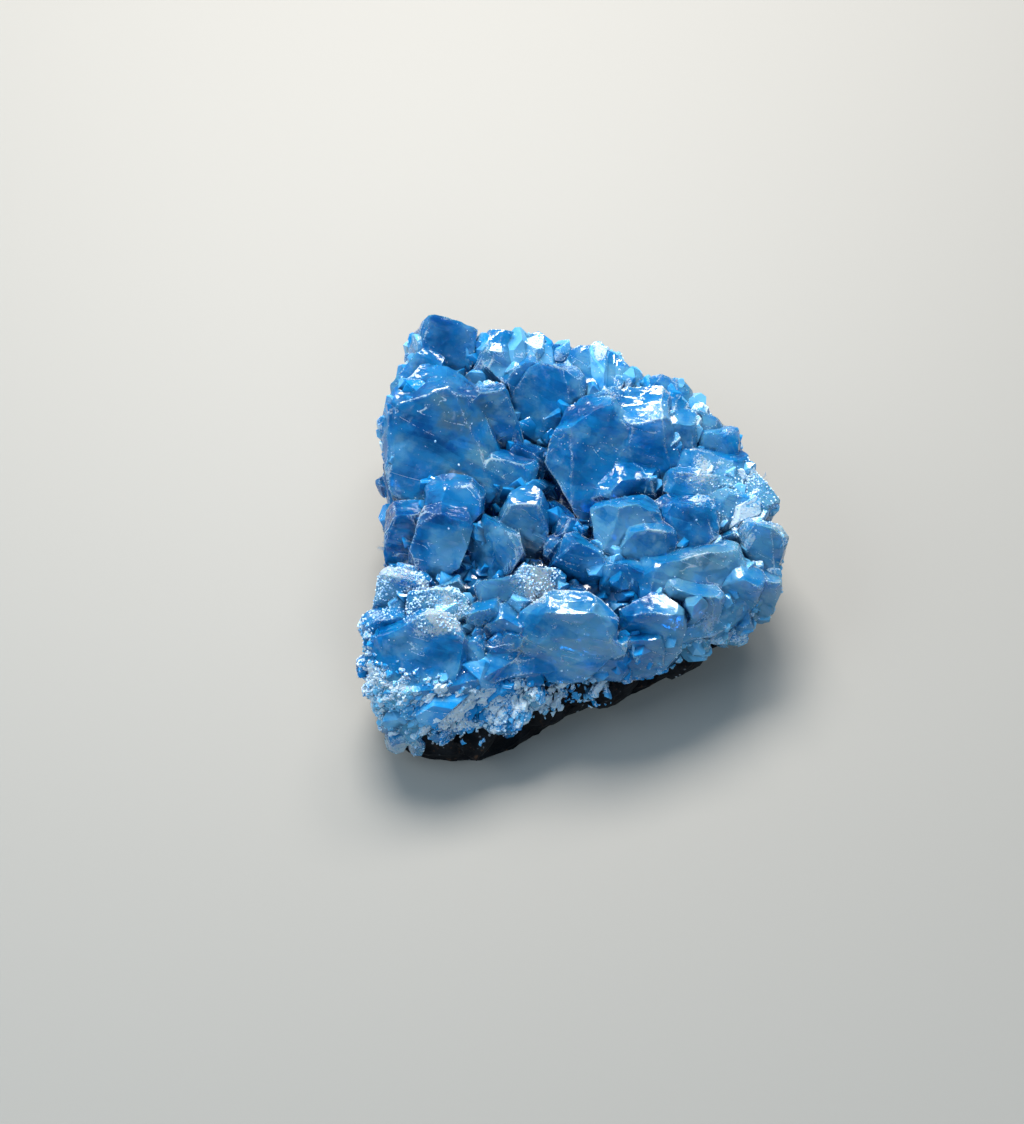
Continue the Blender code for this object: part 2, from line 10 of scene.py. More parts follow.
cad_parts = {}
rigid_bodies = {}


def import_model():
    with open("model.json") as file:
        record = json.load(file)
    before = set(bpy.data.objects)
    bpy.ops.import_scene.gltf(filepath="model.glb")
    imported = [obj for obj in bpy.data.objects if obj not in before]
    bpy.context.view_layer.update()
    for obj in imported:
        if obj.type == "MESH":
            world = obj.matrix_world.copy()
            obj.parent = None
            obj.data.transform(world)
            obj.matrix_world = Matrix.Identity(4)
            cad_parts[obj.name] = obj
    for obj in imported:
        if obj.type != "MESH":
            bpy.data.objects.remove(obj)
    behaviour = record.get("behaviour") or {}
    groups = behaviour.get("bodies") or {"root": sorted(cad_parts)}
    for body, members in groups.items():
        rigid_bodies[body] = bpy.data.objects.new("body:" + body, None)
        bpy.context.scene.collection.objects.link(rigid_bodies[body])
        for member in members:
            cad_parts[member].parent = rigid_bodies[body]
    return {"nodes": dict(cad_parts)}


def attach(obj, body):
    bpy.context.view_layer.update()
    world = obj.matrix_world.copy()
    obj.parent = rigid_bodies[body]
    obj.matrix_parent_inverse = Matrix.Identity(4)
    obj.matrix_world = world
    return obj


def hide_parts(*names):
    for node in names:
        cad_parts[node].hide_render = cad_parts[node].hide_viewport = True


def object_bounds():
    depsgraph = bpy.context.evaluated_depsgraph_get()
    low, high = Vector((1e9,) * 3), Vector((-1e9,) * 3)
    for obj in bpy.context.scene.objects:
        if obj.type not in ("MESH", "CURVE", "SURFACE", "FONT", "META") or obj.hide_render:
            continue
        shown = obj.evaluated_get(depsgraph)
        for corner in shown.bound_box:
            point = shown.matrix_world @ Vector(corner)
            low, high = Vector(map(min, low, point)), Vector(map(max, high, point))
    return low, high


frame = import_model()
cadBounds = [list(corner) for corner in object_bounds()]

mm = 0.001
planShift = Vector((0.19, -3.82, 0.0))  # from the plan that the crystals were placed on, in mm


def onPlan(x, y, z):
    # a point of the plan in mm, as a place in the frame in metres
    return (Vector((x, y, z)) + planShift) * mm


# camera and light

cameraSetup = {
    "location": (-0.01166, -0.13661, 0.26488),
    "target": (-0.01166, 0.00423, 0.0),
    "lens": 48.04,
    "sensor": 36.0,
    "near": 0.01,
}

lightSetup = {
    # the windows are mirrored in the crystals, and the soft fills leave no reflection on the faces
    "window": {"location": (-0.10, 0.42, 0.56), "size": (0.34, 0.24), "energy": 8.0,
               "colour": (1.0, 0.98, 0.94), "mirrored": True},
    "pane": {"location": (0.17, 0.46, 0.46), "size": (0.20, 0.12), "energy": 1.5,
             "colour": (1.0, 0.98, 0.94), "mirrored": True},
    "side": {"location": (-0.55, -0.05, 0.45), "size": (0.40, 0.40), "energy": 2.2,
             "colour": (0.80, 0.92, 1.0), "mirrored": False},
    "front": {"location": (0.15, -0.60, 0.50), "size": (0.50, 0.40), "energy": 2.3,
              "colour": (0.75, 0.90, 1.0), "mirrored": False},
    "target": (0.0, 0.0, 0.02),
    # the sky passes from dark to bright where its direction nears the brightest one
    "sky": {"dark": (0.06, 0.13, 0.22), "bright": (0.26, 0.46, 0.66), "towards": (-0.25, 0.75, 0.62),
            "start": 0.20, "end": 0.95},
    "exposure": 0.0,
}


def aim(thing, target):
    direction = Vector(target) - thing.location
    thing.rotation_euler = direction.to_track_quat("-Z", "Y").to_euler()


def makeCamera():
    data = bpy.data.cameras.new("camera")
    data.sensor_width = cameraSetup["sensor"]
    data.lens = cameraSetup["lens"]
    data.clip_start = cameraSetup["near"]
    camera = bpy.data.objects.new("camera", data)
    bpy.context.scene.collection.objects.link(camera)
    camera.location = cameraSetup["location"]
    aim(camera, cameraSetup["target"])
    bpy.context.scene.camera = camera
    print("camera set")


def makeLights():
    for name in ("window", "pane", "side", "front"):
        setup = lightSetup[name]
        data = bpy.data.lights.new(name + "Light", "AREA")
        data.shape = "RECTANGLE"
        data.size, data.size_y = setup["size"]
        data.energy = setup["energy"]
        data.color = setup["colour"]
        light = bpy.data.objects.new(name + "Light", data)
        bpy.context.scene.collection.objects.link(light)
        light.location = setup["location"]
        aim(light, lightSetup["target"])
        light.visible_glossy = setup["mirrored"]
    sky = bpy.data.worlds.new("sky")
    sky.use_nodes = True
    setup = lightSetup["sky"]
    tree = sky.node_tree
    direction = addNode(tree, "ShaderNodeTexCoord").outputs["Generated"]
    towards = addNode(tree, "ShaderNodeVectorMath", {"operation": "DOT_PRODUCT"})
    tree.links.new(direction, towards.inputs[0])
    towards.inputs[1].default_value = setup["towards"]
    share = stretch(tree, towards.outputs["Value"], setup["start"], setup["end"])
    colour = mixColours(tree, share, (*setup["dark"], 1.0), (*setup["bright"], 1.0))
    tree.links.new(colour, tree.nodes["Background"].inputs["Color"])
    bpy.context.scene.world = sky
    bpy.context.scene.view_settings.view_transform = "Standard"
    bpy.context.scene.view_settings.exposure = lightSetup["exposure"]
    print("lights set")


# helpers for the mesh work

def selectOnly(*things):
    for other in bpy.context.view_layer.objects:
        other.select_set(False)
    for thing in things:
        thing.select_set(True)
    bpy.context.view_layer.objects.active = things[0]


# a copy's corners this close are welded, and its faces that meet within this many degrees are joined
copySetup = {"weld": 0.002 * mm, "flat": 0.4}


def copyOfNode(nodeName, pieceName):
    data = frame["nodes"][nodeName].data.copy()
    data.materials.clear()
    piece = bpy.data.objects.new(pieceName, data)
    bpy.context.scene.collection.objects.link(piece)
    selectOnly(piece)
    bpy.ops.object.mode_set(mode="EDIT")
    bpy.ops.mesh.select_all(action="SELECT")
    bpy.ops.mesh.remove_doubles(threshold=copySetup["weld"])
    bpy.ops.mesh.dissolve_limited(angle_limit=math.radians(copySetup["flat"]))
    bpy.ops.mesh.quads_convert_to_tris(quad_method="BEAUTY", ngon_method="BEAUTY")
    bpy.ops.object.mode_set(mode="OBJECT")
    return piece


def splitLongEdges(piece, longest, floorHeight=-1.0):
    # splits each edge over the longest length once, where an end of it is above the floor height
    mesh = piece.data
    bpy.ops.object.mode_set(mode="EDIT")
    bpy.ops.mesh.select_mode(type="EDGE")
    bpy.ops.mesh.select_all(action="DESELECT")
    bpy.ops.object.mode_set(mode="OBJECT")
    places = [vertex.co.copy() for vertex in mesh.vertices]
    chosen = 0
    for edge in mesh.edges:
        start, end = (places[i] for i in edge.vertices)
        edge.select = (start - end).length > longest and max(start.z, end.z) > floorHeight
        chosen += edge.select
    bpy.ops.object.mode_set(mode="EDIT")
    bpy.ops.mesh.subdivide(number_cuts=1, smoothness=0.0, ngon=False)
    bpy.ops.mesh.select_all(action="SELECT")
    bpy.ops.mesh.quads_convert_to_tris(quad_method="BEAUTY", ngon_method="BEAUTY")
    bpy.ops.object.mode_set(mode="OBJECT")
    return chosen


def applyModifier(piece, kind, **settings):
    modifier = piece.modifiers.new(kind.lower(), kind)
    for name, value in settings.items():
        setattr(modifier, name, value)
    selectOnly(piece)
    bpy.ops.object.modifier_apply(modifier=modifier.name)


# helpers for the materials

def addNode(tree, kind, settings=None, **values):
    node = tree.nodes.new(kind)
    for name, value in (settings or {}).items():
        setattr(node, name, value)
    for name, value in values.items():
        feed(tree, node.inputs[name.replace("_", " ")], value)
    return node


def feed(tree, socket, value):
    if isinstance(value, bpy.types.NodeSocket):
        tree.links.new(value, socket)
    else:
        socket.default_value = value


def mixColours(tree, share, low, high, way="MIX"):
    node = tree.nodes.new("ShaderNodeMix")
    node.data_type = "RGBA"
    node.blend_type = way
    feed(tree, node.inputs[0], share)
    feed(tree, node.inputs[6], low)
    feed(tree, node.inputs[7], high)
    return node.outputs[2]


def calculate(tree, operation, first, second=0.0, clamp=False):
    node = tree.nodes.new("ShaderNodeMath")
    node.operation = operation
    node.use_clamp = clamp
    feed(tree, node.inputs[0], first)
    feed(tree, node.inputs[1], second)
    return node.outputs[0]


def combine(tree, operation, first, second):
    # vector maths: a number for a dot product, else a vector
    node = tree.nodes.new("ShaderNodeVectorMath")
    node.operation = operation
    feed(tree, node.inputs[0], first)
    feed(tree, node.inputs[1], second)
    return node.outputs["Value" if operation == "DOT_PRODUCT" else "Vector"]


def stretch(tree, value, fromLow, fromHigh, toLow=0.0, toHigh=1.0):
    node = addNode(tree, "ShaderNodeMapRange", {"interpolation_type": "SMOOTHSTEP"}, Value=value,
                   From_Min=fromLow, From_Max=fromHigh, To_Min=toLow, To_Max=toHigh)
    return node.outputs[0]


def addUp(tree, *parts):
    # the sum of the values, each times its own weight
    total = None
    for value, weight in parts:
        weighted = calculate(tree, "MULTIPLY", value, weight)
        total = weighted if total is None else calculate(tree, "ADD", total, weighted)
    return total


def addNoise(tree, place, setup):
    # the setup is scale, detail and roughness
    scale, detail, roughness = setup
    noise = addNode(tree, "ShaderNodeTexNoise", Vector=place, Scale=scale, Detail=detail, Roughness=roughness)
    return noise.outputs[0]


def addCells(tree, place, scale):
    return addNode(tree, "ShaderNodeTexVoronoi", {"feature": "F1"}, Vector=place, Scale=scale).outputs


def readTone(tree, name):
    return addNode(tree, "ShaderNodeAttribute", {"attribute_name": name}).outputs["Fac"]


def startGroup(name, inputs, outputs):
    tree = bpy.data.node_groups.new(name, "ShaderNodeTree")
    for socketName, kind in inputs:
        tree.interface.new_socket(name=socketName, in_out="INPUT", socket_type=kind)
    for socketName, kind in outputs:
        tree.interface.new_socket(name=socketName, in_out="OUTPUT", socket_type=kind)
    return tree, tree.nodes.new("NodeGroupInput"), tree.nodes.new("NodeGroupOutput")


def useGroup(tree, group, **values):
    node = tree.nodes.new("ShaderNodeGroup")
    node.node_tree = group
    for name, value in values.items():
        feed(tree, node.inputs[name.replace("_", " ")], value)
    return node


def startMaterial(name):
    made = bpy.data.materials.new(name)
    made.use_nodes = True
    tree = made.node_tree
    return made, tree, tree.nodes["Principled BSDF"]


# the face of a crystal, as one node group for both kinds of celestite

surfaceSetup = {
    # heights in mm of what roughens a face
    "lineHeight": 0.20,
    "stepHeight": 0.045,
    "waveHeight": 0.080,
    "pitHeight": 0.014,
    "sugarHeight": 0.090,
    "lean": 0.16,  # how much the small facelets lean, as a slope
    "leanLined": 0.34,  # and how much more they do on the lined faces
    "leastLines": 0.15,  # what a face without growth lines still has of them
    # how the growth lines are turned, in radians, and drawn out
    "turn": (0.30, 0.25, -0.22),
    "drawn": (4.8, 1.0, 0.75),
    # scale, detail and roughness of each noise
    "lines": (620.0, 2.0, 0.6),
    "waves": (230.0, 1.0, 0.5),
    "grain": (2800.0, 1.0, 0.6),
    "broad": (150.0, 4.0, 0.68),
    "clouds": (130.0, 5.0, 0.66),
    "drift": (200.0, 2.0, 0.45),
    # scale of each set of cells
    "facelets": 560.0,
    "patches": 300.0,
    "spots": 1250.0,
    "middle": (0.5, 0.5, 0.5),  # of the colours of the cells
    # frost and pale edges (partly wear, partly a painted highlight along the ridges): the share of the grain in
    # their noise, where it turns to frost and pale edges, and how much sooner it does so where a crystal is
    # frosted
    "grainShare": 0.35,
    "frostFrom": 0.95,
    "frostSooner": 0.42,
    "frostRange": (0.0, 0.16),
    "paleEdgeRange": (0.62, 0.84),
    # clouds inside: the range of their noise, and what clouds and patches make of them
    "cloudRange": (0.30, 0.70),
    "cloudShare": 0.70,
    "patchShare": 0.30,
    # white flecks: which cells have one, how large it is, and in which clouds they lie
    "fleckChosen": (0.61, 0.67),
    "fleckSize": (0.20, 0.10),
    "fleckClouds": (0.42, 0.60),
    # thin curved fractures, where the drift passes this value: how wide they are, where, and how white
    "crackValue": 0.5,
    "crackWidth": (0.008, 0.002),
    "crackWhere": (0.68, 0.80),
    "crackShare": 0.8,
}


def makeSurfaceGroup():
    # growth lines, steps, pits and sugary frost of a crystal face, as a height in mm, and its masks
    setup = surfaceSetup
    tree, given, result = startGroup(
        "crystalSurface",
        (("Vector", "NodeSocketVector"), ("Frost", "NodeSocketFloat"), ("Lines", "NodeSocketFloat")),
        (("Height", "NodeSocketFloat"), ("Frost", "NodeSocketFloat"), ("Clouds", "NodeSocketFloat"),
         ("PaleEdgePatches", "NodeSocketFloat"), ("Flecks", "NodeSocketFloat"), ("Cracks", "NodeSocketFloat")),
    )
    place, frostZone, lineZone = (given.outputs[name] for name in ("Vector", "Frost", "Lines"))
    turned = addNode(tree, "ShaderNodeMapping", {"vector_type": "TEXTURE"}, Vector=place,
                     Rotation=setup["turn"], Scale=setup["drawn"]).outputs[0]
    lines = addNoise(tree, turned, setup["lines"])
    waves, grain, broad, clouds = (
        addNoise(tree, place, setup[name]) for name in ("waves", "grain", "broad", "clouds"))

    fine = addUp(tree, (broad, 1.0), (grain, setup["grainShare"]))
    sooner = calculate(tree, "MULTIPLY", frostZone, setup["frostSooner"])
    edge = calculate(tree, "SUBTRACT", setup["frostFrom"], sooner)
    frost = stretch(tree, calculate(tree, "SUBTRACT", fine, edge), *setup["frostRange"])
    tree.links.new(frost, result.inputs["Frost"])
    tree.links.new(stretch(tree, fine, *setup["paleEdgeRange"]), result.inputs["PaleEdgePatches"])

    lined = calculate(tree, "MULTIPLY", lines, calculate(tree, "ADD", lineZone, setup["leastLines"]))
    sugared = calculate(tree, "MULTIPLY", grain, frost)
    facelets = addCells(tree, turned, setup["facelets"])
    offset = combine(tree, "SUBTRACT", turned, facelets["Position"])
    lean = combine(tree, "SUBTRACT", facelets["Color"], setup["middle"])
    tilted = calculate(tree, "MULTIPLY", combine(tree, "DOT_PRODUCT", offset, lean), 1.0 / mm)
    slope = calculate(tree, "ADD", calculate(tree, "MULTIPLY", lineZone, setup["leanLined"]), setup["lean"])
    height = addUp(tree, (lined, setup["lineHeight"]), (facelets["Color"], setup["stepHeight"]),
                   (waves, setup["waveHeight"]), (grain, setup["pitHeight"]),
                   (sugared, setup["sugarHeight"]), (calculate(tree, "MULTIPLY", tilted, slope), 1.0))
    tree.links.new(height, result.inputs["Height"])

    patches = addCells(tree, turned, setup["patches"])
    inner = addUp(tree, (stretch(tree, clouds, *setup["cloudRange"]), setup["cloudShare"]),
                  (patches["Color"], setup["patchShare"]))
    tree.links.new(inner, result.inputs["Clouds"])

    spots = addCells(tree, place, setup["spots"])
    chosen = stretch(tree, spots["Color"], *setup["fleckChosen"])
    dots = calculate(tree, "MULTIPLY", stretch(tree, spots["Distance"], *setup["fleckSize"]), chosen)
    flecks = calculate(tree, "MULTIPLY", dots, stretch(tree, clouds, *setup["fleckClouds"]))
    tree.links.new(flecks, result.inputs["Flecks"])

    drift = addNoise(tree, turned, setup["drift"])
    away = calculate(tree, "ABSOLUTE", calculate(tree, "SUBTRACT", drift, setup["crackValue"]))
    broken = calculate(tree, "MULTIPLY", stretch(tree, fine, *setup["crackWhere"]), setup["crackShare"])
    cracks = calculate(tree, "MULTIPLY", stretch(tree, away, *setup["crackWidth"]), broken)
    tree.links.new(cracks, result.inputs["Cracks"])
    return tree


# the materials

celestiteLook = {
    # navy: the colour of the painted shade in the crevices
    "paintedShadeNavy": (0.0005, 0.014, 0.070, 1.0),
    "deep": (0.001, 0.122, 0.410, 1.0),
    "middle": (0.006, 0.320, 0.770, 1.0),
    "pale": (0.190, 0.590, 0.930, 1.0),
    "frost": (0.720, 0.860, 0.960, 1.0),
    "warm": (0.140, 0.200, 0.110, 1.0),
    "absorption": (0.20, 0.62, 0.92, 1.0),
    "density": 130.0,
    "ior": 1.62,
    "scatterRadius": (0.35, 0.75, 1.0),
    # the tone is a sum of the clouds and the crystal's own tone; its low and its high part have a ramp each
    "cloudShare": 0.92,
    "toneShare": 0.70,
    "toneShift": -0.14,
    "lowTones": (0.0, 0.5),
    "highTones": (0.5, 1.0),
    "warmClouds": (0.1, 0.9),
    "paintedCreviceShade": 0.92,  # how dark the painted shade in the deepest crevices gets
    "paintedCreviceShadeRange": (0.22, 0.85),
    "frostFade": (1.0, 0.5),  # how closed in a place is where frost starts to show and where it is full
    "clearRoughness": 0.05,
    "frostRoughness": 0.50,
    "cloudRoughness": 0.10,
    # the two kinds: frost on all faces, share of clear crystal, share and reach of the milky part
    "celestite": {"frost": 0.1, "clear": 0.58, "scattered": 0.5, "scatter": 1.4 * mm},
    "smallCelestite": {"frost": 0.12, "clear": 0.25, "scattered": 0.2, "scatter": 0.7 * mm},
}


def makeCelestite(name, surface):
    look, kind = celestiteLook, celestiteLook[name]
    made, tree, shader = startMaterial(name)
    place = addNode(tree, "ShaderNodeTexCoord").outputs["Object"]
    tone, frostZone, warmZone, lines, edge, deep = (
        readTone(tree, part) for part in ("tone", "frost", "warm", "lines", "edge", "deep"))
    frostShare = calculate(tree, "ADD", frostZone, kind["frost"])
    face = useGroup(tree, surface, Vector=place, Frost=frostShare, Lines=lines)
    clouds = face.outputs["Clouds"]

    toned = addUp(tree, (clouds, look["cloudShare"]), (tone, look["toneShare"]))
    toned = calculate(tree, "ADD", toned, look["toneShift"], clamp=True)
    low = mixColours(tree, stretch(tree, toned, *look["lowTones"]), look["deep"], look["middle"])
    colour = mixColours(tree, stretch(tree, toned, *look["highTones"]), low, look["pale"])
    warmed = calculate(tree, "MULTIPLY", warmZone, stretch(tree, clouds, *look["warmClouds"]))
    colour = mixColours(tree, warmed, colour, look["warm"])
    # painted shade: the colour darkens towards navy where a point is closed in by what stands round it
    paintedCreviceShade = calculate(tree, "MULTIPLY", stretch(tree, deep, *look["paintedCreviceShadeRange"]), look["paintedCreviceShade"])
    colour = mixColours(tree, paintedCreviceShade, colour, look["paintedShadeNavy"])
    # pale edges, partly wear and partly a painted highlight along the ridges, then frost, cracks and flecks
    frosted = calculate(tree, "MULTIPLY", edge, face.outputs["PaleEdgePatches"])
    for mask in ("Frost", "Cracks", "Flecks"):
        frosted = calculate(tree, "MAXIMUM", frosted, face.outputs[mask])
    frosted = calculate(tree, "MULTIPLY", frosted, stretch(tree, deep, *look["frostFade"]))
    colour = mixColours(tree, frosted, colour, look["frost"])
    tree.links.new(colour, shader.inputs["Base Color"])

    rough = addUp(tree, (frosted, look["frostRoughness"]), (clouds, look["cloudRoughness"]))
    rough = calculate(tree, "ADD", rough, look["clearRoughness"])
    tree.links.new(rough, shader.inputs["Roughness"])
    bump = addNode(tree, "ShaderNodeBump", Strength=1.0, Distance=1.0 * mm, Height=face.outputs["Height"])
    tree.links.new(bump.outputs[0], shader.inputs["Normal"])
    shader.inputs["IOR"].default_value = look["ior"]
    shader.inputs["Transmission Weight"].default_value = kind["clear"]
    shader.inputs["Subsurface Weight"].default_value = kind["scattered"]
    shader.inputs["Subsurface Radius"].default_value = look["scatterRadius"]
    shader.inputs["Subsurface Scale"].default_value = kind["scatter"]
    inside = addNode(tree, "ShaderNodeVolumeAbsorption", Color=look["absorption"], Density=look["density"])
    tree.links.new(inside.outputs[0], tree.nodes["Material Output"].inputs["Volume"])
    print("material", name, "made")
    return made


rockLook = {
    # dark and grey are partly painted shade: darker than the rock's own dark grey, for the shadow that it lies
    # in
    "dark": (0.0025, 0.0025, 0.003, 1.0),
    "grey": (0.014, 0.014, 0.015, 1.0),
    "rust": (0.060, 0.030, 0.016, 1.0),
    "grain": (0.30, 0.33, 0.36, 1.0),
    "lining": (0.060, 0.300, 0.560, 1.0),  # under the crystals the rock is blue
    "liningRange": (13.2 * mm, 14.2 * mm),
    # scale, detail and roughness of each noise, and the scale of the cells that the grains lie in
    "broad": (140.0, 6.0, 0.65),
    "fine": (900.0, 4.0, 0.6),
    "cells": 700.0,
    "greyRange": (0.40, 0.68),
    "rustRange": (0.60, 0.70),
    "rustShare": 0.8,
    "grainSize": (0.22, 0.12),
    "grainWhere": (0.50, 0.60),
    "roughness": 0.85,
    "grainRoughness": -0.35,  # added where a grain is
    "specular": 0.25,
    "cellHeight": 0.5,  # of the bump, next to 1 for the fine noise
    "bump": {"Strength": 0.8, "Distance": 0.4 * mm},
}


def makeShadedDarkRock():
    look = rockLook
    made, tree, shader = startMaterial("shadedDarkRock")
    place = addNode(tree, "ShaderNodeTexCoord").outputs["Object"]
    broad = addNoise(tree, place, look["broad"])
    fine = addNoise(tree, place, look["fine"])
    cells = addCells(tree, place, look["cells"])
    # the rock's body, darkened in part as painted shade
    body = mixColours(tree, stretch(tree, broad, *look["greyRange"]), look["dark"], look["grey"])
    rust = calculate(tree, "MULTIPLY", stretch(tree, fine, *look["rustRange"]), look["rustShare"])
    body = mixColours(tree, rust, body, look["rust"])
    grain = stretch(tree, cells["Distance"], *look["grainSize"])
    grain = calculate(tree, "MULTIPLY", grain, stretch(tree, broad, *look["grainWhere"]))
    body = mixColours(tree, grain, body, look["grain"])
    height = addNode(tree, "ShaderNodeSeparateXYZ", Vector=place).outputs["Z"]
    body = mixColours(tree, stretch(tree, height, *look["liningRange"]), body, look["lining"])
    tree.links.new(body, shader.inputs["Base Color"])
    smoother = calculate(tree, "MULTIPLY", grain, look["grainRoughness"])
    tree.links.new(calculate(tree, "ADD", smoother, look["roughness"]), shader.inputs["Roughness"])
    shader.inputs["Specular IOR Level"].default_value = look["specular"]
    relief = addUp(tree, (fine, 1.0), (cells["Distance"], look["cellHeight"]))
    bump = addNode(tree, "ShaderNodeBump", Height=relief, **look["bump"])
    tree.links.new(bump.outputs[0], shader.inputs["Normal"])
    print("material shadedDarkRock made")
    return made


floorLook = {"size": 3.0, "colour": (0.30, 0.278, 0.250, 1.0), "roughness": 0.6}


def makeFloor():
    made, tree, shader = startMaterial("paleFloor")
    shader.inputs["Base Color"].default_value = floorLook["colour"]
    shader.inputs["Roughness"].default_value = floorLook["roughness"]
    bpy.ops.mesh.primitive_plane_add(size=floorLook["size"], location=(0, 0, 0))
    floor = bpy.context.object
    floor.name = "floor"
    floor.data.materials.append(made)
    print("floor made")


# the crystals

crystalsSetup = {
    "longest": 0.78 * mm,  # no edge of the finished mesh is much longer
    "rounds": 5,
    "seenAbove": 9.0 * mm,
    # how the faces and ridges are bent out of true: the size of the waves and how far they push
    "bends": {"size": 7.0 * mm, "strength": 1.5 * mm, "depth": 1},
    "chips": {"size": 1.5 * mm, "strength": 0.38 * mm, "depth": 2},
    "smooth": 0.1,
    "paleEdges": (12.0, 40.0),  # degrees between faces where pale edges start and are full: partly wear, partly a painted ridge highlight
    "smoothBelow": 14.0,  # degrees between faces that are shaded as one
}


